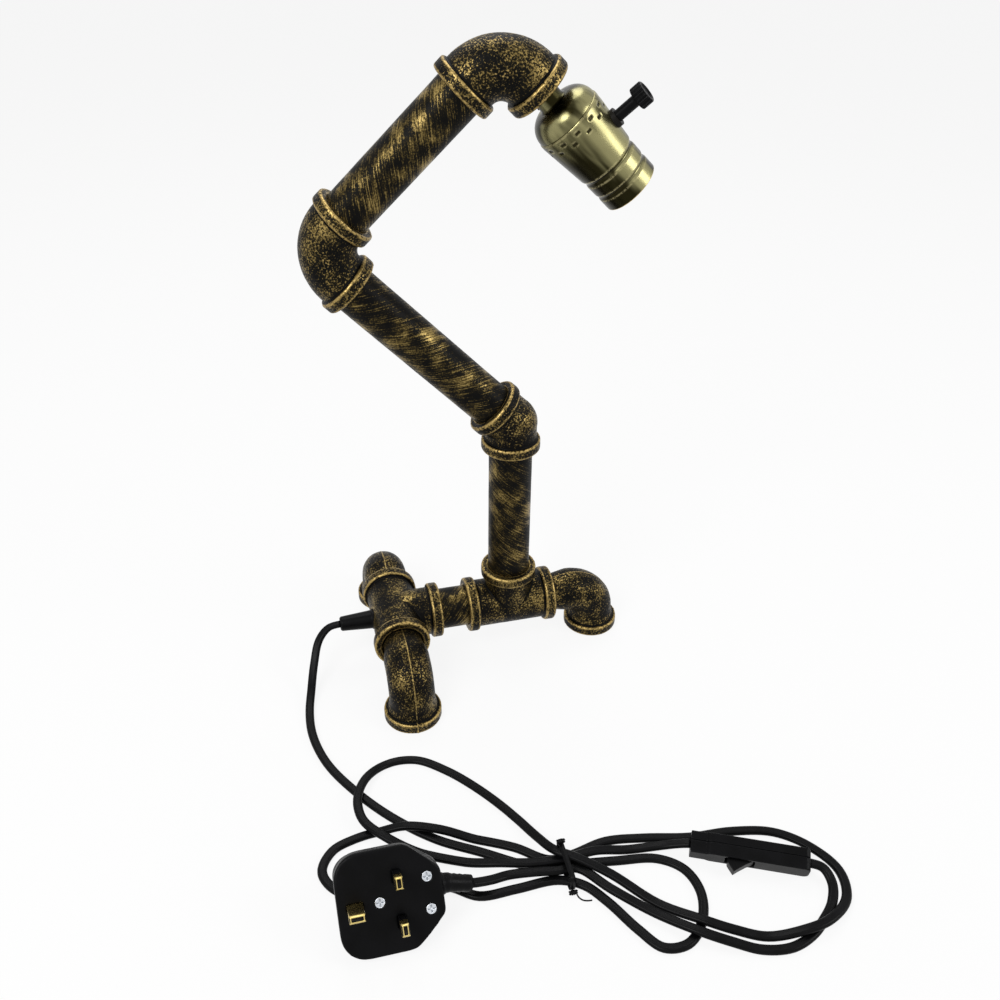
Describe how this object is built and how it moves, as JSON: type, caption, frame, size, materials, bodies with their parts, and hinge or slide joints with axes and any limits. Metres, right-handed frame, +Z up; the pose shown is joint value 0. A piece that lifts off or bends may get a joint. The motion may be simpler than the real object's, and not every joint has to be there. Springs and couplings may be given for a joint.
{
  "type": "industrial pipe table lamp",
  "caption": "Table lamp built of threaded pipe, tees and elbows, with swivelling arms, a screw-shell lamp holder with a turn knob, and a flat cord with a rocker switch and a plug.",
  "frame": {"origin": "middle of the lamp's footprint on the table, without its cord, switch and plug", "axes": "+X along the base from the two-footed end to the single foot, +Y towards the rear foot, +Z up"},
  "size_m": [0.2777, 0.3467, 0.3871],
  "materials": {
    "cast_fittings": "black paint rubbed with antique gold, stippled, with bare edges",
    "pipe": "black paint with rubbed gold streaks",
    "antique_brass": "aged olive brass, semi-gloss with dark patina",
    "bright_brass": "satin",
    "black_plastic": "moulded black, satin",
    "cord_pvc": "smooth black flexible sheath",
    "insulator": "moulded dark insulator",
    "fibre": "pressed fibre",
    "contact_copper": "bright spring copper",
    "plated_steel": "zinc plated",
    "pin_brass": "worn bright at the edges",
    "fuse_ceramic": "unglazed ceramic"
  },
  "bodies": {
    "base": {"right_tee": "cast_fittings", "left_tee": "cast_fittings", "base_nipple": "pipe", "right_foot_elbow": "cast_fittings", "front_foot_elbow": "cast_fittings", "rear_foot_elbow": "cast_fittings", "cord_sleeve": "black_plastic", "cord_sleeve_nut": "black_plastic", "base_lead": "cord_pvc", "cord_to_switch": "cord_pvc", "cord_tie": "black_plastic", "inline_switch_back": "black_plastic", "inline_switch_front": "black_plastic", "inline_switch_contacts": "bright_brass", "inline_switch_screw": "plated_steel", "rocker_pin": "plated_steel", "cord_to_plug": "cord_pvc", "plug_base": "black_plastic", "plug_cover": "black_plastic", "plug_sleeve": "black_plastic", "earth_pin": "pin_brass", "line_pin": "pin_brass", "neutral_pin": "pin_brass", "pin_sleeves": "black_plastic", "plug_fuse": "fuse_ceramic", "fuse_clips": "contact_copper", "plug_cord_grip": "fibre", "plug_screws": "plated_steel"},
    "stem": {"riser_pipe": "pipe", "half_elbow": "cast_fittings", "lower_arm_pipe": "pipe", "stem_lead": "cord_pvc"},
    "forearm": {"middle_elbow": "cast_fittings", "upper_arm_pipe": "pipe", "forearm_lead": "cord_pvc"},
    "head": {"top_elbow": "cast_fittings", "outlet_bushing": "cast_fittings", "threaded_stud": "bright_brass", "stud_nut": "bright_brass", "head_lead": "cord_pvc", "holder_cap": "antique_brass", "cap_set_screw": "bright_brass", "holder_shell": "antique_brass", "shell_liner": "fibre", "socket_body": "insulator", "screw_shell": "bright_brass", "centre_contact": "contact_copper", "terminal_screws": "bright_brass", "terminal_wires": "contact_copper", "knob_bush": "black_plastic"},
    "knob": {"switch_knob": "black_plastic", "switch_rotor": "fibre"},
    "rocker": {"rocker": "black_plastic"}
  },
  "joints": [
    {"name": "riser_swivel", "type": "hinge", "parent": "base", "child": "stem", "pos_m": [0.01869, 0, 0.0505], "axis": [0, 0, 1], "range_deg": [-90, 90]},
    {"name": "lower_arm_swivel", "type": "hinge", "parent": "stem", "child": "forearm", "pos_m": [-0.09006, 0.01528, 0.27911], "axis": [-0.7002, 0.0984, 0.7071], "range_deg": [-90, 90]},
    {"name": "upper_arm_swivel", "type": "hinge", "parent": "forearm", "child": "head", "pos_m": [0.01028, 0.00118, 0.38044], "axis": [0.7002, -0.0984, 0.7071], "range_deg": [-90, 90]},
    {"name": "knob_turn", "type": "hinge", "parent": "head", "child": "knob", "pos_m": [0.0558, -0.00522, 0.33448], "axis": [0.656, -0.3021, 0.6917], "continuous": true},
    {"name": "rocker_tilt", "type": "hinge", "parent": "base", "child": "rocker", "pos_m": [0.09414, -0.21366, 0.00644], "axis": [0.1306, 0.2801, -0.9511], "range_deg": [0, 16]}
  ]
}
